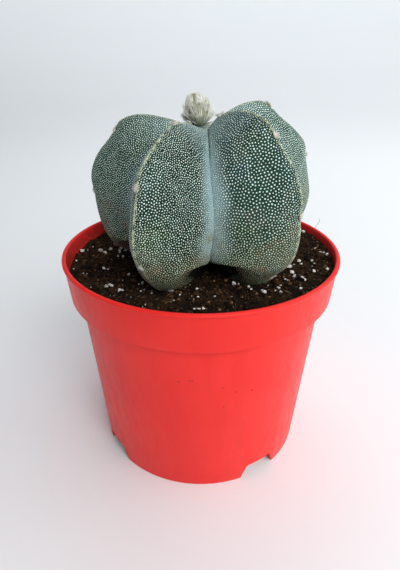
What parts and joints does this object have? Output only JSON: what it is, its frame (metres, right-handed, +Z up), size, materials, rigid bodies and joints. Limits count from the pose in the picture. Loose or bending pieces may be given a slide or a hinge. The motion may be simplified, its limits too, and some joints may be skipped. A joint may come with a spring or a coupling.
{
  "type": "potted bishops cap cactus",
  "caption": "Spineless star-ribbed cactus with woolly areoles and a flower bud, growing in potting mix in a round tapered nursery pot with a collar and notched foot.",
  "frame": {"origin": "on the pot's axis at the level of its foot ring, the middle of the base of the bounding box", "axes": "+Z up, the front is -Y, +X to the right as seen from the front"},
  "size_m": [0.12, 0.12, 0.1605],
  "materials": {
    "red_plastic": "satin",
    "potting_mix": "matte",
    "flecked_skin": "matte",
    "bud_scales": "matte"
  },
  "bodies": {
    "root": {"pot": "red_plastic", "soil": "potting_mix", "cactus": "flecked_skin", "flower_bud": "bud_scales"}
  },
  "joints": []
}
